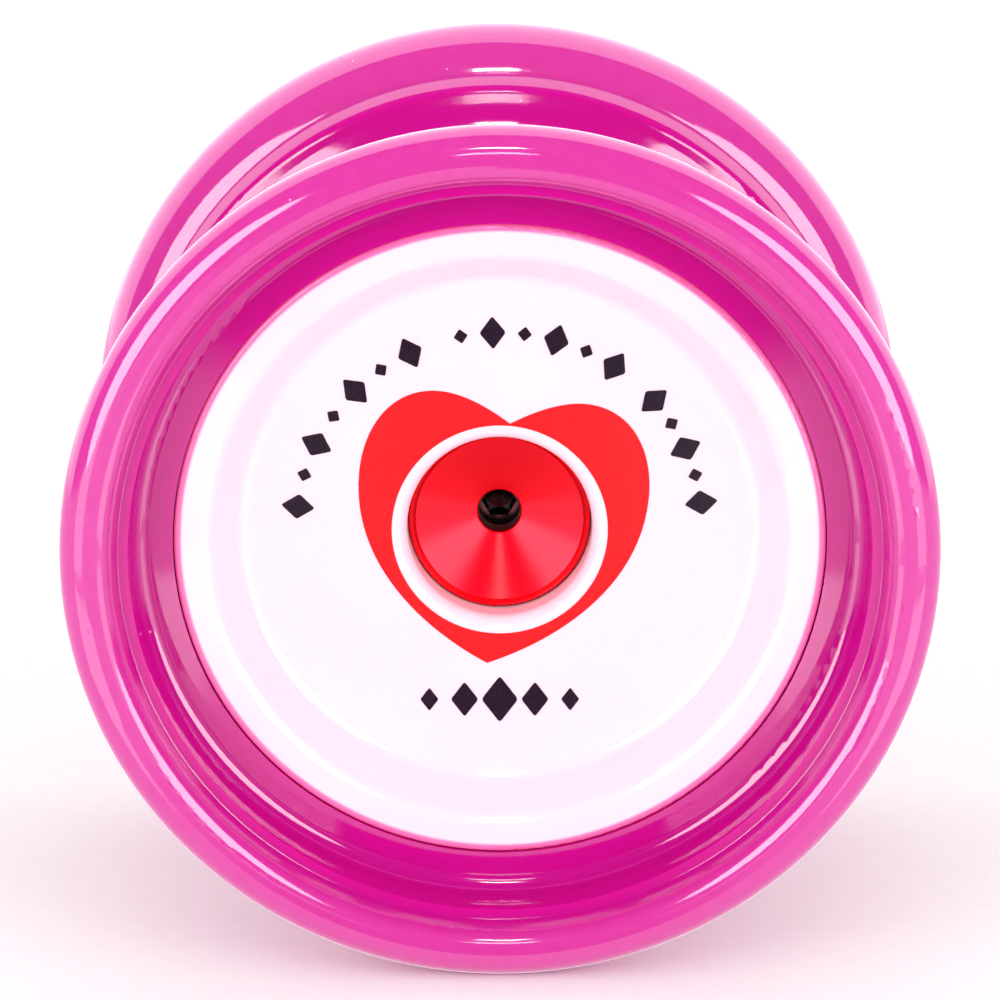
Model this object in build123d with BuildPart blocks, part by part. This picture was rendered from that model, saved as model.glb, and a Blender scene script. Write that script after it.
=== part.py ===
from build123d import *
import os
from math import atan2, cos, hypot, radians, tan

# A string-trick yo-yo: two moulded cup-shaped halves, each with a snap-in side cap and a
# turned metal hub nut, screwed together on a set-screw axle through a ball bearing.
# The axle lies along Y, the front half points to -Y, +Z is up, and the origin is the
# middle of the bearing.  All sizes are in millimetres.
# In every half profile the first number is the radius and the second is the distance
# from the middle plane, towards the outside of that half.

# ---------------------------------------------------------------- overall sizes
yoyo_diameter = 56.0
yoyo_width = 39.0
string_gap = 4.4             # between the two response walls

# ---------------------------------------------------------------- fits and clearances
race_fit = 0.01              # bearing seat post in the inner race, radial
thread_fit = 0.05            # plain-cylinder thread in its tapped hole, radial
side_clearance = 0.30        # turning bearing faces to the fixed metal and plastic
cap_fit = 0.05               # cap in its pocket and hub in the cap well, radial
pad_fit = 0.05               # response pad in its groove, radial
cage_fit = 0.056             # ball in its cage pocket, radial
ball_fit = 0.026             # groove radius over ball radius
race_land_gap = 0.12         # cage and shields to the race lands

# ---------------------------------------------------------------- rim of the body
rim_section = 7.0            # rim widest radius to cap pocket radius
rim_front_round = 1.8        # outer front corner
rim_land = 0.4               # flat land the yo-yo rests on when laid down
rim_lip_round = 1.2          # inner front corner
rim_lip_fall = 70.0          # degrees the lip turns through, about
rim_lip_edge = 3.67          # widest radius to the foot of the lip
rim_lip_depth = 1.64         # land to the foot of the lip
rim_ledge = 0.68             # narrow ledge inside the lip
rim_gutter = (4.4, 5.48)     # gutter corner: inwards from the widest radius, back from the land
rim_gutter_round = 1.0
rim_gap_corner = 4.6         # land to the gap-side corner of the bead
rim_gap_round = 3.8          # big round on the gap side of the bead
bead_foot = (2.9, 5.54)      # inwards from the widest radius, back from the land
bead_step = (3.6, 6.7)       # foot of the small step beside the bead
catch_valley = (7.0, 7.34)   # where the step's slope meets the catch cone
step_hollow_round = 0.4
step_round = 0.8
valley_round = 9.0

# ---------------------------------------------------------------- web of the body
body_wall = 1.8              # wall behind the catch cone
web_thickness = 2.1          # plastic clamped between seat flange and cap
shoulder_run = 2.7           # response wall outside the pad groove
shoulder_round = 1.2
pad_width = 2.4
pad_thickness = 1.1
pad_rib = 0.5                # plastic rib between bearing recess and pad groove
pad_proud = 0.1              # pad face over the response wall
pad_round = 0.12

# ---------------------------------------------------------------- side cap
cap_edge_depth = 5.16        # land to the cap edge
cap_edge_thickness = 1.0
cap_edge_round = 0.3
cap_wall = 1.2
cap_border = 2.28            # width of the raised border
cap_border_fall = 0.54
cap_slope_run = 1.85         # slope from the border down to the dish
cap_border_round = 1.2
cap_dish_round = 1.4
dish_depth = 8.35            # land to the flat of the dish
cap_floor = 1.2              # floor of the well, clamped under the hub
cap_well_round = 1.0

# ---------------------------------------------------------------- hub nut
hub_diameter = 11.84
hub_flange = 2.08
hub_edge_round = 0.12
hub_groove_in = 0.22         # hub edge to the groove
hub_groove_width = 0.20
hub_groove_depth = 0.42
hub_inner_step = 0.16        # cone edge below the hub rim
hub_funnel_depth = 2.17
hub_hole_diameter = 2.82     # lets the hex key through to the axle
hub_hole_round = 0.2
hub_floor_thickness = 1.67
hub_skirt_wall = 1.35

# ---------------------------------------------------------------- bearing seat
seat_post_gap = 0.6          # between the posts of the two seats
seat_shoulder_width = 0.75
seat_flange_radius = 5.6
seat_flange = 0.65
seat_stem_diameter = 6.0
seat_chamfer = 0.15

# ---------------------------------------------------------------- axle, M4 set screw
axle_diameter = 4.0
axle_length = 8.0
axle_chamfer = 0.5
hex_key_size = 2.0
hex_depth = 2.0
cup_diameter = 2.2           # cup point at the rear end
cup_depth = 0.5

# ---------------------------------------------------------------- ball bearing
bearing_bore = 6.35
bearing_diameter = 12.7
bearing_width = 4.7625
ball_diameter = 1.5875
ball_count = 8
race_land = 0.40             # land height over the groove bottom
race_chamfer = 0.25
shield_thickness = 0.2
shield_lip = 0.12            # race lip each side of the shield's seat
ring_wire = 0.3              # snap ring wire
ring_bite = 0.16             # depth of the snap ring groove
ring_opening = 24.0          # degrees cut out of the snap ring
cage_ring = 0.5
cage_claw = 0.6              # claws reach past the ball centres

# ---------------------------------------------------------------- worked-out places
rim_radius = yoyo_diameter / 2
land = yoyo_width / 2
gap_wall = string_gap / 2
cap_pocket_radius = rim_radius - rim_section
cap_radius = cap_pocket_radius - cap_fit
cap_edge = land - cap_edge_depth
cap_ledge = cap_edge - cap_edge_thickness
dish = land - dish_depth

bearing_half = bearing_width / 2
race_radius = bearing_diameter / 2
bore_radius = bearing_bore / 2
recess_radius = race_radius + side_clearance
pad_inner_radius = recess_radius + pad_rib
pad_outer_radius = pad_inner_radius + pad_width
shoulder_radius = pad_outer_radius + shoulder_run
pad_floor = gap_wall + pad_thickness - pad_proud

flange_front = bearing_half + side_clearance
flange_back = flange_front + seat_flange
web_back = flange_back + web_thickness
hub_seat = web_back + cap_floor
hub_edge = hub_seat + hub_flange
hub_hole_edge = hub_edge - hub_funnel_depth
hub_floor = hub_hole_edge - hub_floor_thickness

hub_radius = hub_diameter / 2
hub_hole_radius = hub_hole_diameter / 2
stem_radius = seat_stem_diameter / 2
skirt_inner_radius = stem_radius + thread_fit
skirt_radius = skirt_inner_radius + hub_skirt_wall
body_bore = skirt_radius + cap_fit
well_radius = hub_radius + cap_fit

axle_radius = axle_diameter / 2
tapped_radius = axle_radius + thread_fit

# Ball track of the bearing.
ball_radius = ball_diameter / 2
pitch_radius = (bore_radius + race_radius) / 2
track_radius = ball_radius + ball_fit
inner_land_radius = pitch_radius - ball_radius + race_land
outer_land_radius = pitch_radius + ball_radius - race_land
ring_out = bearing_half - shield_lip
ring_in = ring_out - ring_wire
shield_in = ring_in - shield_thickness
shield_radius = outer_land_radius + 2 * ring_wire
ring_groove_radius = shield_radius + ring_bite
cage_inner_radius = inner_land_radius + race_land_gap
cage_outer_radius = outer_land_radius - race_land_gap
cage_back = ball_radius + cage_fit + cage_ring

# The catch cone between the response shoulder and the valley, and the face behind it.
valley = (rim_radius - catch_valley[0], land - catch_valley[1])
cone_slope = (valley[1] - gap_wall) / (valley[0] - shoulder_radius)
cone_angle = atan2(valley[1] - gap_wall, valley[0] - shoulder_radius)
wall_back = gap_wall + body_wall / cos(cone_angle)

# The round in the valley uses at most three quarters of the short slope beside it.
slope_out = catch_valley[0] - bead_step[0]
slope_up = catch_valley[1] - bead_step[1]
valley_turn = cone_angle - atan2(slope_up, slope_out)
valley_limit = 0.75 * hypot(slope_out, slope_up) / tan(valley_turn / 2)


def radius_behind_cone(height):
    """Radius at which the face behind the catch cone reaches a height."""
    return shoulder_radius + (height - wall_back) / cone_slope


# The corner that the lip's round is cut from: the land ends where that round begins.
lip_corner = rim_radius - rim_front_round - rim_land - rim_lip_round * tan(radians(rim_lip_fall / 2))

# The front half is drawn on a plane whose second axis is -Y, the rear half on XY.
halves = {
    "front": Plane(origin=(0, 0, 0), x_dir=(1, 0, 0), z_dir=(0, 0, -1)),
    "rear": Plane.XY,
}

os.makedirs("parts", exist_ok=True)


def save(piece, name):
    """Label a finished piece and write it as its own STEP file."""
    piece.part.label = name
    export_step(piece.part, f"parts/{name}.step")


# ---------------------------------------------------------------- moulded bodies
# A solid bead at the rim, a catch cone that leads the string in, and a flat web with the
# pad groove, the bearing recess and the pocket for the seat flange.
body_corners = [
    ((body_bore, flange_back), 0),
    ((seat_flange_radius + cap_fit, flange_back), 0),
    ((seat_flange_radius + cap_fit, flange_front), 0),
    ((recess_radius, flange_front), 0),
    ((recess_radius, gap_wall), 0.1),
    ((pad_inner_radius, gap_wall), 0.1),
    ((pad_inner_radius, pad_floor), 0),
    ((pad_outer_radius, pad_floor), 0),
    ((pad_outer_radius, gap_wall), 0.1),
    ((shoulder_radius, gap_wall), shoulder_round),
    (valley, min(valley_round, valley_limit)),
    ((rim_radius - bead_step[0], land - bead_step[1]), step_round),
    ((rim_radius - bead_foot[0], land - bead_foot[1]), step_hollow_round),
    ((rim_radius, land - rim_gap_corner), rim_gap_round),
    ((rim_radius, land), rim_front_round),
    ((lip_corner, land), rim_lip_round),
    ((rim_radius - rim_lip_edge, land - rim_lip_depth), 0.15),
    ((rim_radius - rim_lip_edge - rim_ledge, land - rim_lip_depth), 0),
    ((rim_radius - rim_gutter[0], land - rim_gutter[1]), rim_gutter_round),
    ((cap_pocket_radius, cap_edge), 0),
]

for side, plane in halves.items():
    with BuildPart() as body:
        with BuildSketch(plane):
            with BuildLine():
                outline = FilletPolyline(
                    *[point for point, _ in body_corners],
                    radius=[radius for _, radius in body_corners[1:-1]],
                )
                Polyline(
                    outline @ 1,
                    (cap_pocket_radius, cap_ledge),
                    (radius_behind_cone(cap_ledge), cap_ledge),
                    (radius_behind_cone(web_back), web_back),
                    (body_bore, web_back),
                    outline @ 0,
                )
            make_face()
        revolve(axis=Axis.Y)
    save(body, f"{side}_body")

# ---------------------------------------------------------------- side caps
# A thin moulded disc: raised border, sloping step, flat printed dish and a round well
# whose floor is clamped between the body web and the hub nut.
border_radius = cap_radius - cap_border
dish_radius = border_radius - cap_slope_run
cap_border_level = cap_edge - cap_border_fall
well_corner = well_radius + 0.04

cap_front = [
    ((cap_radius, cap_ledge), 0),
    ((cap_radius, cap_edge), cap_edge_round),
    ((border_radius, cap_border_level), cap_border_round),
    ((dish_radius, dish), cap_dish_round),
    ((well_corner, dish), cap_well_round),
    ((well_radius, hub_seat), 0),
    ((body_bore, hub_seat), 0),
]
cap_back = [
    ((body_bore, web_back), 0),
    ((well_radius + cap_wall, web_back), 0),
    ((well_radius + cap_wall, dish - cap_wall), 0.4),
    ((dish_radius - cap_wall / 4, dish - cap_wall), 0.8),
    ((border_radius - cap_wall / 4, cap_border_level - cap_wall), 0.8),
    ((radius_behind_cone(cap_ledge) - cap_wall / 4, cap_ledge), 0),
]

for side, plane in halves.items():
    with BuildPart() as cap:
        with BuildSketch(plane):
            with BuildLine():
                FilletPolyline(
                    *[point for point, _ in cap_front + cap_back],
                    radius=[radius for _, radius in cap_front + cap_back],
                    close=True,
                )
            make_face()
        revolve(axis=Axis.Y)
    save(cap, f"{side}_cap")

# ---------------------------------------------------------------- hub nuts
# A turned metal cup nut: dished funnel with a fine groove just inside its rim, a through
# hole for the hex key, and a tapped skirt that screws onto the stem of the bearing seat.
groove_outer = hub_radius - hub_groove_in
groove_inner = groove_outer - hub_groove_width
hub_corners = [
    ((hub_radius, hub_seat), 0),
    ((hub_radius, hub_edge), hub_edge_round),
    ((groove_outer, hub_edge), 0.04),
    ((groove_outer, hub_edge - hub_groove_depth), 0),
    ((groove_inner, hub_edge - hub_groove_depth), 0),
    ((groove_inner, hub_edge - hub_inner_step), 0.04),
    ((hub_hole_radius, hub_hole_edge), hub_hole_round),
    ((hub_hole_radius, hub_floor), 0.12),
    ((skirt_inner_radius, hub_floor), 0),
    ((skirt_inner_radius, flange_back + seat_chamfer), 0),
    ((skirt_radius, flange_back + seat_chamfer), 0),
    ((skirt_radius, hub_seat), 0),
]

for side, plane in halves.items():
    with BuildPart() as hub:
        with BuildSketch(plane):
            with BuildLine():
                FilletPolyline(
                    *[point for point, _ in hub_corners],
                    radius=[radius for _, radius in hub_corners],
                    close=True,
                )
            make_face()
        revolve(axis=Axis.Y)
    save(hub, f"{side}_hub")

# ---------------------------------------------------------------- bearing seats
# A turned aluminium spool: post in the inner race, narrow shoulder against its face,
# flange bedded in the body web, threaded stem for the hub nut, tapped right through.
stem_end = hub_floor - thread_fit
shoulder_outer = bore_radius + seat_shoulder_width
seat_outline = [
    (tapped_radius, seat_post_gap / 2),
    (bore_radius - race_fit - seat_chamfer, seat_post_gap / 2),
    (bore_radius - race_fit, seat_post_gap / 2 + seat_chamfer),
    (bore_radius - race_fit, bearing_half),
    (shoulder_outer, bearing_half),
    (shoulder_outer, flange_front),
    (seat_flange_radius, flange_front),
    (seat_flange_radius, flange_back),
    (stem_radius, flange_back),
    (stem_radius, stem_end - seat_chamfer),
    (stem_radius - seat_chamfer, stem_end),
    (tapped_radius, stem_end),
]

for side, plane in halves.items():
    with BuildPart() as seat:
        with BuildSketch(plane):
            with BuildLine():
                Polyline(*seat_outline, close=True)
            make_face()
        revolve(axis=Axis.Y)
    save(seat, f"{side}_bearing_seat")

# ---------------------------------------------------------------- response pads
# Flat silicone rings glued into the grooves of the response walls.
for side, plane in halves.items():
    with BuildPart() as pad:
        with BuildSketch(plane) as pad_profile:
            with Locations((pad_inner_radius + pad_width / 2, pad_floor - pad_thickness / 2)):
                Rectangle(pad_width - 2 * pad_fit, pad_thickness)
            fillet(pad_profile.vertices().group_by(Axis.Y)[0], pad_round)
        revolve(axis=Axis.Y)
    save(pad, f"{side}_response_pad")

# ---------------------------------------------------------------- axle
# Socket set screw: hex socket at the front end, cup point at the rear end.
front_end = Plane(origin=(0, -axle_length / 2, 0), x_dir=(1, 0, 0), z_dir=(0, -1, 0))
rear_end = Plane(origin=(0, axle_length / 2, 0), x_dir=(1, 0, 0), z_dir=(0, 1, 0))
with BuildPart() as axle:
    with BuildSketch(front_end):
        Circle(axle_radius)
    extrude(amount=-axle_length)
    chamfer(axle.edges().filter_by(GeomType.CIRCLE), axle_chamfer)
    with BuildSketch(front_end):
        RegularPolygon(hex_key_size / 2, 6, major_radius=False)
    extrude(amount=-hex_depth, mode=Mode.SUBTRACT)
    with Locations(front_end.offset(-hex_depth)):
        Cone(
            0, hex_key_size / 2, hex_key_size / 4,
            align=(Align.CENTER, Align.CENTER, Align.MAX), mode=Mode.SUBTRACT,
        )
    with Locations(rear_end):
        Cone(
            0, cup_diameter / 2, cup_depth,
            align=(Align.CENTER, Align.CENTER, Align.MAX), mode=Mode.SUBTRACT,
        )
save(axle, "axle")

# ---------------------------------------------------------------- bearing races
# Both races have a ground ball track; the outer race also has a seat for each shield
# and a groove for its snap ring.
bearing_plane = halves["rear"]
with BuildPart() as inner_race:
    with BuildSketch(bearing_plane):
        with Locations(((bore_radius + inner_land_radius) / 2, 0)):
            Rectangle(inner_land_radius - bore_radius, bearing_width)
        with Locations((pitch_radius, 0)):
            Circle(track_radius, mode=Mode.SUBTRACT)
    revolve(axis=Axis.Y)
    chamfer(
        inner_race.edges().filter_by(GeomType.CIRCLE).sort_by(SortBy.RADIUS)[:2],
        race_chamfer / 2,
    )
save(inner_race, "bearing_inner_race")

outer_race_side = [
    (race_radius - race_chamfer, bearing_half),
    (shield_radius, bearing_half),
    (shield_radius, ring_out),
    (ring_groove_radius, ring_out),
    (ring_groove_radius, ring_in),
    (shield_radius, ring_in),
    (shield_radius, shield_in),
    (outer_land_radius, shield_in),
]
with BuildPart() as outer_race:
    with BuildSketch(bearing_plane):
        with BuildLine():
            Polyline(
                (race_radius, bearing_half - race_chamfer),
                *outer_race_side,
                *[(radius, -height) for radius, height in reversed(outer_race_side)],
                (race_radius, race_chamfer - bearing_half),
                close=True,
            )
        make_face()
        with Locations((pitch_radius, 0)):
            Circle(track_radius, mode=Mode.SUBTRACT)
    revolve(axis=Axis.Y)
save(outer_race, "bearing_outer_race")

# ---------------------------------------------------------------- shields and snap rings
for side, plane in halves.items():
    with BuildPart() as shield:
        with BuildSketch(plane):
            with BuildLine():
                Polyline(
                    (inner_land_radius + race_land_gap, shield_in),
                    (shield_radius - race_fit, shield_in),
                    (shield_radius - race_fit, ring_in),
                    (inner_land_radius + race_land_gap, ring_in),
                    close=True,
                )
            make_face()
        revolve(axis=Axis.Y)
    save(shield, f"{side}_bearing_shield")

    with BuildPart() as snap_ring:
        with BuildSketch(plane):
            with Locations((ring_groove_radius - race_fit - ring_wire / 2, (ring_in + ring_out) / 2)):
                Circle(ring_wire / 2 - race_fit)
        revolve(axis=Axis.Y, revolution_arc=360 - ring_opening)
    save(snap_ring, f"{side}_snap_ring")

# ---------------------------------------------------------------- cage and balls
# A one-piece crown cage: a ring on one side of the balls with claws between them.
ball_plane = Plane(origin=(0, 0, 0), x_dir=(1, 0, 0), z_dir=(0, 1, 0))
cage_start = ball_plane.offset(-cage_claw)
with BuildPart() as cage:
    with BuildSketch(cage_start):
        Circle(cage_outer_radius)
        Circle(cage_inner_radius, mode=Mode.SUBTRACT)
    extrude(amount=cage_claw + cage_back)
    with Locations(ball_plane):
        with PolarLocations(pitch_radius, ball_count):
            Sphere(ball_radius + cage_fit, mode=Mode.SUBTRACT)
save(cage, "bearing_cage")

for number in range(ball_count):
    with BuildPart() as ball:
        with Locations(ball_plane):
            with PolarLocations(pitch_radius, 1, start_angle=number * 360 / ball_count):
                Sphere(ball_radius)
    save(ball, f"ball_{number + 1}")
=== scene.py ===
from math import cos, pi, radians, sin

import bpy
from mathutils import Matrix, Vector


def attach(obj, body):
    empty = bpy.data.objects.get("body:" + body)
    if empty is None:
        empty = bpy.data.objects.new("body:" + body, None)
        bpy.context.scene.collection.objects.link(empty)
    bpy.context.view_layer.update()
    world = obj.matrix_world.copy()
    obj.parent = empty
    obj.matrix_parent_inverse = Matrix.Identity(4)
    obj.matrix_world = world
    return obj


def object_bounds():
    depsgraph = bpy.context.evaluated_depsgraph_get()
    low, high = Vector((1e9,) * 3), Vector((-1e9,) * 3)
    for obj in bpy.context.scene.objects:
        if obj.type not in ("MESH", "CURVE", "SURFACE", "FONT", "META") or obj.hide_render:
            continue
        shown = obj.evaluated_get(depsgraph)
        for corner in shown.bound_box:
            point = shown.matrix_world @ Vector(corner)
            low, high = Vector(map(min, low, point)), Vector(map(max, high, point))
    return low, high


# A string-trick yo-yo: two moulded magenta halves with pale pink side caps and red hub
# nuts, screwed together through a small ball bearing. Sizes in this file are in metres.
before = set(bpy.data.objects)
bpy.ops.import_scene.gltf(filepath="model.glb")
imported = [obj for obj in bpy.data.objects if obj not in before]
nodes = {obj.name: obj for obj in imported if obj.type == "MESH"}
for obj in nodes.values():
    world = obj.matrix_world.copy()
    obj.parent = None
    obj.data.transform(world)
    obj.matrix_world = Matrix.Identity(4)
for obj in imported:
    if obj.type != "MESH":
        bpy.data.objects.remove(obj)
cad_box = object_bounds()
mm = 0.001


# ---------------------------------------------------------------- moulded halves
# Two cups turned out by one mould, in polycarbonate tinted a strong magenta. The rim is a
# solid bead, the web behind the cap is thin. Polished tooling leaves them glossy.
def linear(colour):
    """An sRGB hex colour as linear red, green, blue and alpha."""
    parts = [int(colour[i:i + 2], 16) / 255 for i in (0, 2, 4)]
    return [p / 12.92 if p <= 0.04045 else ((p + 0.055) / 1.055) ** 2.4 for p in parts] + [1.0]


def node(tree, kind, inputs=None, **settings):
    """Adds a node with its settings; an input is a value or another node's output."""
    made = tree.nodes.new(kind)
    for name, value in settings.items():
        setattr(made, name, value)
    for name, value in (inputs or {}).items():
        if isinstance(value, bpy.types.NodeSocket):
            tree.links.new(value, made.inputs[name])
        else:
            made.inputs[name].default_value = value
    return made


def start_material(name):
    """A new material: itself, its node tree, its shader and the piece's own coordinates."""
    made = bpy.data.materials.new(name)
    made.use_nodes = True
    tree = made.node_tree
    return made, tree, tree.nodes["Principled BSDF"], node(tree, "ShaderNodeTexCoord").outputs["Object"]


def radius_from_axle(tree, place):
    """How far a point lies from the axle, which runs along Y."""
    flat = node(tree, "ShaderNodeVectorMath", {0: place, 1: (1.0, 0.0, 1.0)}, operation="MULTIPLY")
    return node(tree, "ShaderNodeVectorMath", {0: flat.outputs[0]}, operation="LENGTH").outputs["Value"]


def finish_node(name, finish):
    """Gives one CAD piece its finish."""
    nodes[name].data.materials.clear()
    nodes[name].data.materials.append(finish)


# Tinted polycarbonate, injection moulded in a polished tool: deep even colour with faint
# flow clouds about 9 mm across, light soaking a little way in, and wet gloss with the
# slightest ripple. The solid rim bead is painted paler in patches: a painted sheen standing
# for softbox light scattered by the fine scuffs of handling. Handling also leaves fine dust.
magenta, tree, shader, place = start_material("magenta_moulded_polycarbonate")
clouds = node(tree, "ShaderNodeTexNoise", {"Vector": place, "Scale": 1 / (9 * mm), "Detail": 3.0})
tint = node(tree, "ShaderNodeMix", {0: clouds.outputs["Fac"], 6: linear("BE0A84"), 7: linear("C90C8C")},
            data_type="RGBA")
# Painted sheen: the rim bead's base colour is lightened to stand for scattered softbox light, patchy where
# scuffs lie.
bead = node(tree, "ShaderNodeMapRange", {"Value": radius_from_axle(tree, place), "From Min": 24.2 * mm,
                                         "From Max": 25.4 * mm}, interpolation_type="SMOOTHSTEP")
scuff_sheen_noise = node(tree, "ShaderNodeTexNoise", {"Vector": place, "Scale": 1 / (1.2 * mm), "Detail": 5.0,
                                           "Roughness": 0.7})
sheen_patchiness = node(tree, "ShaderNodeMapRange", {"Value": scuff_sheen_noise.outputs["Fac"], "From Min": 0.3, "From Max": 0.7,
                                         "To Min": 0.75, "To Max": 1.0})
painted_sheen_mask = node(tree, "ShaderNodeMath", {0: bead.outputs["Result"], 1: sheen_patchiness.outputs["Result"]},
                 operation="MULTIPLY")
painted_sheen_tint = node(tree, "ShaderNodeMix", {0: painted_sheen_mask.outputs[0], 6: tint.outputs[2], 7: linear("CB3B97")},
                data_type="RGBA")
specks = node(tree, "ShaderNodeTexVoronoi", {"Vector": place, "Scale": 1 / (1.6 * mm)})
speck_mask = node(tree, "ShaderNodeMapRange",
                  {"Value": specks.outputs["Distance"], "From Min": 0.035, "From Max": 0.05,
                   "To Min": 1.0, "To Max": 0.0})
lottery = node(tree, "ShaderNodeMath", {0: specks.outputs["Color"], 1: 0.86}, operation="GREATER_THAN")
dust = node(tree, "ShaderNodeMath", {0: speck_mask.outputs["Result"], 1: lottery.outputs[0]},
            operation="MULTIPLY")
dusted = node(tree, "ShaderNodeMix", {0: dust.outputs[0], 6: painted_sheen_tint.outputs[2], 7: linear("F3B4DC")},
              data_type="RGBA")
haze = node(tree, "ShaderNodeTexNoise", {"Vector": place, "Scale": 1 / (0.5 * mm), "Detail": 4.0})
gloss = node(tree, "ShaderNodeMapRange",
             {"Value": haze.outputs["Fac"], "From Min": 0.3, "From Max": 0.7, "To Min": 0.045,
              "To Max": 0.085})
ripple = node(tree, "ShaderNodeTexNoise", {"Vector": place, "Scale": 1 / (2.5 * mm), "Detail": 1.0})
skin = node(tree, "ShaderNodeBump", {"Height": ripple.outputs["Fac"], "Distance": 0.0025 * mm,
                                     "Strength": 1.0})
tree.links.new(dusted.outputs[2], shader.inputs["Base Color"])
tree.links.new(gloss.outputs["Result"], shader.inputs["Roughness"])
tree.links.new(skin.outputs["Normal"], shader.inputs["Normal"])
shader.inputs["IOR"].default_value = 1.58
shader.inputs["Subsurface Weight"].default_value = 0.35
shader.inputs["Subsurface Radius"].default_value = (1.0, 0.15, 0.45)
shader.inputs["Subsurface Scale"].default_value = 1.5 * mm
for side in ("front", "rear"):
    finish_node(f"{side}_body", magenta)


# ---------------------------------------------------------------- side caps
# A snap-in disc in pale pink ABS: raised border, sloping step, flat printed dish and a
# round well whose floor the hub nut clamps against the half.
# ABS with a pastel masterbatch: soft milky pink, glossy with a faint orange peel. Its edge
# is painted a deeper pink: painted light standing for the magenta half lighting it from the side.
pink, tree, shader, place = start_material("pale_pink_moulded_abs")
clouds = node(tree, "ShaderNodeTexNoise", {"Vector": place, "Scale": 1 / (7 * mm), "Detail": 3.0})
tint = node(tree, "ShaderNodeMix", {0: clouds.outputs["Fac"], 6: linear("F6D6E3"), 7: linear("F9DCE7")},
            data_type="RGBA")
edge = node(tree, "ShaderNodeMapRange", {"Value": radius_from_axle(tree, place), "From Min": 20.35 * mm,
                                         "From Max": 20.6 * mm}, interpolation_type="SMOOTHSTEP")
# Painted glow: the cap's edge is tinted deeper pink to stand for light passing in from the magenta half.
painted_edge_glow = node(tree, "ShaderNodeMix", {0: edge.outputs["Result"], 6: tint.outputs[2], 7: linear("FF6FB0")},
                 data_type="RGBA")
haze = node(tree, "ShaderNodeTexNoise", {"Vector": place, "Scale": 1 / (0.5 * mm), "Detail": 4.0})
gloss = node(tree, "ShaderNodeMapRange",
             {"Value": haze.outputs["Fac"], "From Min": 0.3, "From Max": 0.7, "To Min": 0.10,
              "To Max": 0.14})
ripple = node(tree, "ShaderNodeTexNoise", {"Vector": place, "Scale": 1 / (2 * mm), "Detail": 1.0})
skin = node(tree, "ShaderNodeBump", {"Height": ripple.outputs["Fac"], "Distance": 0.002 * mm,
                                     "Strength": 1.0})
tree.links.new(painted_edge_glow.outputs[2], shader.inputs["Base Color"])
tree.links.new(gloss.outputs["Result"], shader.inputs["Roughness"])
tree.links.new(skin.outputs["Normal"], shader.inputs["Normal"])
shader.inputs["IOR"].default_value = 1.50
shader.inputs["Subsurface Weight"].default_value = 0.3
shader.inputs["Subsurface Radius"].default_value = (1.0, 0.6, 0.8)
shader.inputs["Subsurface Scale"].default_value = 0.8 * mm
for side in ("front", "rear"):
    finish_node(f"{side}_cap", pink)


# ---------------------------------------------------------------- printed hearts
# A plain red heart pad-printed on the flat of each cap, with a round window left clear for
# the well. The ink film is thin and sits turned a few degrees from upright.
dish_level = 11.15 * mm
ink_film = 0.03 * mm
turn = {"front": 0.0, "rear": pi}
heart_points = [
    # place, handle before, handle after, in millimetres
    ((0.0, 7.15), (-1.1, 7.85), (1.1, 7.85)),
    ((4.7, 8.9), (3.0, 8.9), (7.8, 8.9)),
    ((9.4, 3.0), (9.4, 6.1), (9.4, -3.2)),
    ((0.0, -9.05), (4.2, -7.2), (-4.2, -7.2)),
    ((-9.4, 3.0), (-9.4, -3.2), (-9.4, 6.1)),
    ((-4.7, 8.9), (-7.8, 8.9), (-3.0, 8.9)),
]
heart_turn = radians(-5.3)
window_radius = 7.0 * mm


def printing(colours, name):
    """Pad-print ink in one colour: dense and even, glossy, with a fine grain."""
    made, tree, shader, place = start_material(name)
    grain = node(tree, "ShaderNodeTexNoise", {"Vector": place, "Scale": 1 / (0.25 * mm), "Detail": 3.0})
    dark, light = colours
    tint = node(tree, "ShaderNodeMix", {0: grain.outputs["Fac"], 6: linear(dark), 7: linear(light)},
                data_type="RGBA")
    gloss = node(tree, "ShaderNodeMapRange", {"Value": grain.outputs["Fac"], "To Min": 0.09, "To Max": 0.15})
    skin = node(tree, "ShaderNodeBump", {"Height": grain.outputs["Fac"], "Distance": 0.001 * mm})
    tree.links.new(tint.outputs[2], shader.inputs["Base Color"])
    tree.links.new(gloss.outputs["Result"], shader.inputs["Roughness"])
    tree.links.new(skin.outputs["Normal"], shader.inputs["Normal"])
    shader.inputs["IOR"].default_value = 1.5
    return made


red_ink = printing(("E01A20", "E81E24"), "red_pad_print_ink")


def lay_on_cap(piece, side):
    """Stands a print drawn flat on XY against the flat of one cap, facing out."""
    up = Matrix.Rotation(pi / 2, 4, "X")
    out = Matrix.Translation((0, -dish_level, 0))
    piece.data.transform(Matrix.Rotation(turn[side], 4, "Z") @ out @ up)


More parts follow.
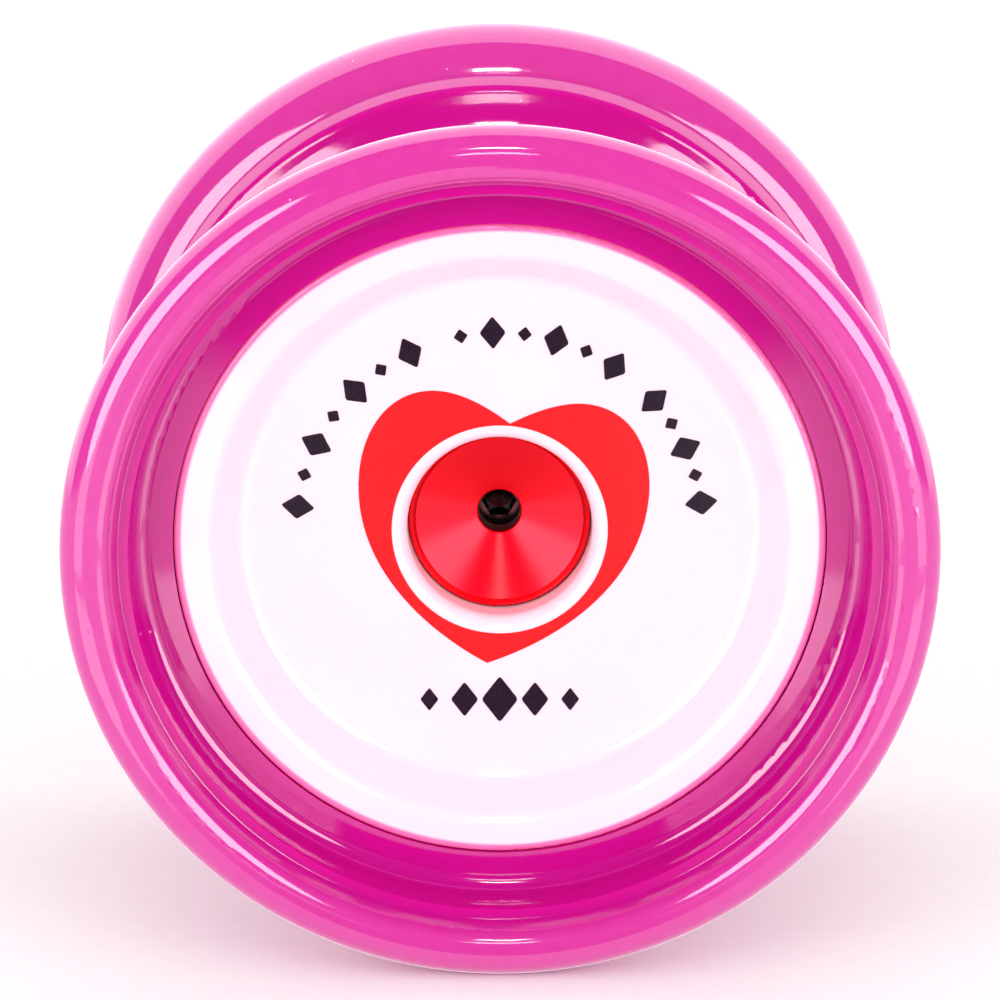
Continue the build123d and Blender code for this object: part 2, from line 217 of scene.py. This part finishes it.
for side in ("front", "rear"):
    bpy.ops.object.select_all(action="DESELECT")
    bpy.ops.curve.primitive_bezier_circle_add(radius=window_radius)
    heart = bpy.context.object
    heart.name = f"{side}_heart_print"
    outline = heart.data.splines.new("BEZIER")
    outline.bezier_points.add(len(heart_points) - 1)
    outline.use_cyclic_u = True
    for point, (at, before, after) in zip(outline.bezier_points, heart_points):
        point.co = (at[0] * mm, at[1] * mm, 0)
        point.handle_left = (before[0] * mm, before[1] * mm, 0)
        point.handle_right = (after[0] * mm, after[1] * mm, 0)
    heart.data.dimensions = "2D"
    heart.data.fill_mode = "BOTH"
    heart.data.resolution_u = 24
    heart.data.extrude = ink_film / 2
    bpy.ops.object.convert(target="MESH")
    heart = bpy.context.object
    heart.data.transform(Matrix.Translation((0, 0, ink_film / 2)) @ Matrix.Rotation(heart_turn, 4, "Z"))
    bpy.ops.object.mode_set(mode="EDIT")
    bpy.ops.mesh.select_all(action="SELECT")
    bpy.ops.mesh.remove_doubles(threshold=0.001 * mm)
    bpy.ops.mesh.normals_make_consistent(inside=False)
    bpy.ops.object.mode_set(mode="OBJECT")
    lay_on_cap(heart, side)
    heart.data.materials.clear()
    heart.data.materials.append(red_ink)
    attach(heart, f"{side}_half")


# ---------------------------------------------------------------- printed marks
# Dark violet diamonds and dots printed in three groups on an arc over the heart, and a row
# of five diamonds under it. They are a plain border pattern.
dark_ink = printing(("1E1020", "271628"), "violet_pad_print_ink")
arc_radius = 13.15 * mm
mark_height = 2.2 * mm
mark_width = 1.7 * mm
groups = [(116.0, 173.0, 7), (56.0, 101.0, 6), (8.0, 41.0, 5)]  # from and to in degrees, marks
row_level = -11.5 * mm
row_pitch = 2.3 * mm
row_width = 2.4 * mm
row_height = 3.2 * mm
row_sizes = (0.5, 0.75, 1.0, 0.75, 0.5)


def diamond(width, height):
    """One diamond of ink, drawn flat on XY at the origin, its corners eased."""
    bpy.ops.object.select_all(action="DESELECT")
    bpy.ops.mesh.primitive_circle_add(vertices=4, radius=0.5, fill_type="NGON")
    made = bpy.context.object
    made.data.transform(Matrix.Diagonal((width, height, 1, 1)))
    bpy.ops.object.mode_set(mode="EDIT")
    bpy.ops.mesh.select_all(action="SELECT")
    bpy.ops.mesh.bevel(offset=width * 0.09, segments=3, affect="VERTICES")
    bpy.ops.mesh.select_all(action="SELECT")
    bpy.ops.mesh.extrude_region_move(TRANSFORM_OT_translate={"value": (0, 0, ink_film)})
    bpy.ops.mesh.select_all(action="SELECT")
    bpy.ops.mesh.normals_make_consistent(inside=False)
    bpy.ops.object.mode_set(mode="OBJECT")
    return made


for side in ("front", "rear"):
    marks = []
    for start, end, count in groups:
        for number in range(count):
            angle = radians(start + (end - start) * number / (count - 1))
            small = number % 2 == 1
            mark = diamond(mark_width * (0.55 if small else 1.0), mark_height * (0.45 if small else 1.0))
            mark.data.transform(Matrix.Rotation(angle - pi / 2, 4, "Z")
                                @ Matrix.Translation((0, arc_radius, 0)))
            marks.append(mark)
    for number, size in zip(range(-2, 3), row_sizes):
        mark = diamond(row_width * size, row_height * size)
        mark.data.transform(Matrix.Translation((number * row_pitch, row_level, 0)))
        marks.append(mark)
    bpy.ops.object.select_all(action="DESELECT")
    for mark in marks:
        mark.select_set(True)
    bpy.context.view_layer.objects.active = marks[0]
    bpy.ops.object.join()
    band = bpy.context.object
    band.name = f"{side}_border_print"
    lay_on_cap(band, side)
    band.data.materials.clear()
    band.data.materials.append(dark_ink)
    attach(band, f"{side}_half")


# ---------------------------------------------------------------- hub nuts
# Turned aluminium cup nuts, anodised red, with a dished funnel and a fine groove near the
# edge. They screw onto the bearing seats and clamp each cap and half together.
# Anodised aluminium, fine turned: bright dyed metal under a clear oxide skin. Its tool
# marks, drawn 0.12 mm apart where real ones are finer, fan the light out over the funnel.
red_metal, tree, shader, place = start_material("red_anodised_turned_aluminium")
marks_at = node(tree, "ShaderNodeCombineXYZ", {"X": radius_from_axle(tree, place)})
turning = node(tree, "ShaderNodeTexNoise", {"Vector": marks_at.outputs[0], "Scale": 1 / (0.12 * mm),
                                            "Detail": 3.0})
tint = node(tree, "ShaderNodeMix", {0: turning.outputs["Fac"], 6: linear("D00018"), 7: linear("F4041C")},
            data_type="RGBA")
gloss = node(tree, "ShaderNodeMapRange",
             {"Value": turning.outputs["Fac"], "From Min": 0.3, "From Max": 0.7, "To Min": 0.28,
              "To Max": 0.38})
cut = node(tree, "ShaderNodeBump", {"Height": turning.outputs["Fac"], "Distance": 0.004 * mm,
                                    "Strength": 0.6})
around = node(tree, "ShaderNodeVectorMath", {0: (0.0, 1.0, 0.0), 1: place}, operation="CROSS_PRODUCT")
along = node(tree, "ShaderNodeVectorMath", {0: around.outputs[0]}, operation="NORMALIZE")
tree.links.new(tint.outputs[2], shader.inputs["Base Color"])
tree.links.new(gloss.outputs["Result"], shader.inputs["Roughness"])
tree.links.new(cut.outputs["Normal"], shader.inputs["Normal"])
tree.links.new(along.outputs[0], shader.inputs["Tangent"])
shader.inputs["Metallic"].default_value = 1.0
shader.inputs["Anisotropic"].default_value = 0.5
shader.inputs["Coat Weight"].default_value = 0.24
shader.inputs["Coat Roughness"].default_value = 0.22
shader.inputs["Coat IOR"].default_value = 1.5
for side in ("front", "rear"):
    finish_node(f"{side}_hub", red_metal)


# ---------------------------------------------------------------- bearing seats
# Turned aluminium spools: post in the bearing bore, flange bedded in the half, threaded
# stem for the hub nut, tapped for the axle. Left in clear anodise.
def turned(name, light, dark, rough, pitch, depth):
    """Bare metal off the lathe: rings of tool marks at a pitch, seen as a faint sheen."""
    made, tree, shader, place = start_material(name)
    height = node(tree, "ShaderNodeSeparateXYZ", {"Vector": place})
    marks_at = node(tree, "ShaderNodeCombineXYZ",
                    {"X": radius_from_axle(tree, place), "Y": height.outputs["Y"]})
    turning = node(tree, "ShaderNodeTexNoise", {"Vector": marks_at.outputs[0], "Scale": 1 / pitch,
                                                "Detail": 3.0})
    tint = node(tree, "ShaderNodeMix", {0: turning.outputs["Fac"], 6: linear(dark), 7: linear(light)},
                data_type="RGBA")
    gloss = node(tree, "ShaderNodeMapRange",
                 {"Value": turning.outputs["Fac"], "From Min": 0.3, "From Max": 0.7,
                  "To Min": rough * 0.8, "To Max": rough * 1.2})
    cut = node(tree, "ShaderNodeBump", {"Height": turning.outputs["Fac"], "Distance": depth,
                                        "Strength": 0.6})
    tree.links.new(tint.outputs[2], shader.inputs["Base Color"])
    tree.links.new(gloss.outputs["Result"], shader.inputs["Roughness"])
    tree.links.new(cut.outputs["Normal"], shader.inputs["Normal"])
    shader.inputs["Metallic"].default_value = 1.0
    return made


seat_metal = turned("clear_anodised_turned_aluminium", "D9DADC", "C6C8CB", 0.30, 0.12 * mm, 0.003 * mm)
for side in ("front", "rear"):
    finish_node(f"{side}_bearing_seat", seat_metal)


# ---------------------------------------------------------------- response pads
# Flat silicone rings glued in the response walls, which grip the string's turns.
# Cast silicone: milky white rubber, matt and soft at the edge, dusted by string fibre.
silicone, tree, shader, place = start_material("white_cast_silicone")
grain = node(tree, "ShaderNodeTexNoise", {"Vector": place, "Scale": 1 / (0.3 * mm), "Detail": 4.0})
tint = node(tree, "ShaderNodeMix", {0: grain.outputs["Fac"], 6: linear("D9D6D2"), 7: linear("EDEBE8")},
            data_type="RGBA")
gloss = node(tree, "ShaderNodeMapRange", {"Value": grain.outputs["Fac"], "To Min": 0.5, "To Max": 0.7})
skin = node(tree, "ShaderNodeBump", {"Height": grain.outputs["Fac"], "Distance": 0.01 * mm})
tree.links.new(tint.outputs[2], shader.inputs["Base Color"])
tree.links.new(gloss.outputs["Result"], shader.inputs["Roughness"])
tree.links.new(skin.outputs["Normal"], shader.inputs["Normal"])
shader.inputs["IOR"].default_value = 1.41
shader.inputs["Subsurface Weight"].default_value = 0.3
shader.inputs["Subsurface Radius"].default_value = (1.0, 0.9, 0.8)
shader.inputs["Subsurface Scale"].default_value = 0.5 * mm
for side in ("front", "rear"):
    finish_node(f"{side}_response_pad", silicone)


# ---------------------------------------------------------------- axle
# A steel set screw with a hex socket, seen through the hole in the front hub nut. Its
# black oxide finish is thin, oily and a little mottled.
black_steel = turned("black_oxide_steel", "504E50", "3A393B", 0.24, 0.2 * mm, 0.002 * mm)
finish_node("axle", black_steel)


# ---------------------------------------------------------------- ball bearing
# A shielded ball bearing: two ground races, eight balls in a crown cage, and a pressed
# shield with its wire snap ring on each side. Ground steel is bright, pressings are duller.
finishes = {
    ("bearing_inner_race", "bearing_outer_race"):
        turned("ground_bearing_steel", "C9CACC", "B4B5B8", 0.16, 0.06 * mm, 0.001 * mm),
    tuple(f"ball_{number}" for number in range(1, 9)):
        turned("polished_ball_steel", "D0D1D3", "C4C5C8", 0.07, 0.4 * mm, 0.0004 * mm),
    ("bearing_cage", "front_bearing_shield", "rear_bearing_shield"):
        turned("pressed_cage_steel", "B5B4B0", "A3A29E", 0.32, 0.3 * mm, 0.003 * mm),
    ("front_snap_ring", "rear_snap_ring"):
        turned("drawn_spring_steel", "9A9A9C", "7E7E82", 0.24, 0.08 * mm, 0.002 * mm),
}
for names, steel in finishes.items():
    for name in names:
        finish_node(name, steel)


# ---------------------------------------------------------------- floor
# A plain pale sweep the yo-yo stands on, on the lowest points of its two rims.
floor_level = cad_box[0].z
bpy.ops.object.select_all(action="DESELECT")
bpy.ops.mesh.primitive_plane_add(size=6.0, location=(0, 0, floor_level))
floor = bpy.context.object
floor.name = "floor"
paper, tree, shader, place = start_material("white_matt_paper")
grain = node(tree, "ShaderNodeTexNoise", {"Vector": place, "Scale": 1 / (1.5 * mm), "Detail": 4.0})
tint = node(tree, "ShaderNodeMix", {0: grain.outputs["Fac"], 6: linear("F4F4F4"), 7: linear("FAFAFA")},
            data_type="RGBA")
tree.links.new(tint.outputs[2], shader.inputs["Base Color"])
shader.inputs["Roughness"].default_value = 0.9
floor.data.materials.append(paper)


# ---------------------------------------------------------------- light
# A white studio: bright walls behind, dim walls in front that show only as reflections, an
# even soft light on all of it, a round softbox at each side with a white card under it, and
# two small front lamps.
back_walls = 2.6             # every level is in multiples of white paper
front_walls = 0.03
table_shine = 1.3
even_light = 0.92
world = bpy.data.worlds.new("studio")
bpy.context.scene.world = world
world.use_nodes = True
tree = world.node_tree
sky = tree.nodes["Background"]
direction = node(tree, "ShaderNodeTexCoord").outputs["Generated"]
heading = node(tree, "ShaderNodeSeparateXYZ", {"Vector": direction})
behind = node(tree, "ShaderNodeMapRange", {"Value": heading.outputs["Y"], "From Min": -0.02,
                                           "From Max": 0.04}, interpolation_type="SMOOTHSTEP")
below = node(tree, "ShaderNodeMapRange", {"Value": heading.outputs["Z"], "From Min": -0.08,
                                          "From Max": -0.14}, interpolation_type="SMOOTHSTEP")
near = node(tree, "ShaderNodeMapRange", {"Value": heading.outputs["Z"], "From Min": -0.42,
                                         "From Max": -0.50}, interpolation_type="SMOOTHSTEP")
sideways = node(tree, "ShaderNodeMath", {0: heading.outputs["X"]}, operation="ABSOLUTE")
beside = node(tree, "ShaderNodeMapRange", {"Value": sideways.outputs[0], "From Min": 0.03,
                                           "From Max": 0.08}, interpolation_type="SMOOTHSTEP")
table = node(tree, "ShaderNodeMath", {0: near.outputs["Result"], 1: beside.outputs["Result"]},
             operation="MAXIMUM")
lower = node(tree, "ShaderNodeMath", {0: table.outputs[0], 1: below.outputs["Result"]},
             operation="MULTIPLY")
room = node(tree, "ShaderNodeMix", {0: behind.outputs["Result"], 2: front_walls, 3: back_walls})
seen = node(tree, "ShaderNodeMix", {0: lower.outputs[0], 2: room.outputs[0], 3: table_shine})
ray = node(tree, "ShaderNodeLightPath")
brightness = node(tree, "ShaderNodeMix",
                  {0: ray.outputs["Is Diffuse Ray"], 2: seen.outputs[0], 3: even_light})
backdrop = node(tree, "ShaderNodeMix",
                {0: ray.outputs["Is Camera Ray"], 2: brightness.outputs[0], 3: back_walls})
tree.links.new(backdrop.outputs[0], sky.inputs["Strength"])
sky.inputs["Color"].default_value = (1, 1, 1, 1)
floor.visible_glossy = False


def lamp(name, azimuth, elevation, distance, width, height, brightness, shape="RECTANGLE",
         shine=True, light=True):
    """A soft lamp as bright as so many times white paper, turned to the yo-yo. Azimuth 0
    is straight in front and positive to the right. It can give only shine or only light."""
    data = bpy.data.lights.new(name, "AREA")
    data.shape = shape
    data.size = width
    data.size_y = height
    data.energy = brightness * pi * width * height * (pi / 4 if shape == "ELLIPSE" else 1)
    made = bpy.data.objects.new(name, data)
    bpy.context.scene.collection.objects.link(made)
    a, e = radians(azimuth), radians(elevation)
    spot = Vector((sin(a) * cos(e), -cos(a) * cos(e), sin(e))) * distance
    made.location = spot
    made.rotation_euler = (-spot).to_track_quat("-Z", "Y").to_euler()
    made.visible_camera = False
    made.visible_glossy = shine
    made.visible_diffuse = light
    return made


for side, hand in (("left", -1), ("right", 1)):
    lamp(f"{side}_softbox", hand * 36, 10, 1.0, 0.72, 0.60, 9.5, "ELLIPSE", light=False)
    lamp(f"{side}_softbox_glow", hand * 42, 15, 1.0, 0.80, 0.70, 2.8, "ELLIPSE", shine=False)
    lamp(f"{side}_low_card", hand * 36, -24, 1.0, 0.62, 0.20, 2.4, light=False)
    lamp(f"{side}_high_card", hand * 37, -11, 1.0, 0.56, 0.20, 2.3, light=False)
lamp("front_lamp", 0, 35, 1.0, 0.10, 0.07, 40.0, light=False)
lamp("low_lamp", 0, 15.5, 0.55, 0.05, 0.05, 14.0, light=False)


# ---------------------------------------------------------------- camera
# A long lens a little above the axle, looking down at the front cap.
tilt, yaw = radians(15.62), radians(0.29)
lens = bpy.data.cameras.new("camera")
lens.sensor_width = 36.0
lens.lens = 181.0
lens.clip_start = 0.01
camera = bpy.data.objects.new("camera", lens)
bpy.context.scene.collection.objects.link(camera)
camera.location = (-0.00157, -0.3242, 0.08954)
camera.rotation_euler = (pi / 2 - tilt, 0, -yaw)
bpy.context.scene.camera = camera
bpy.context.scene.view_settings.view_transform = "Standard"
bpy.context.scene.view_settings.look = "None"
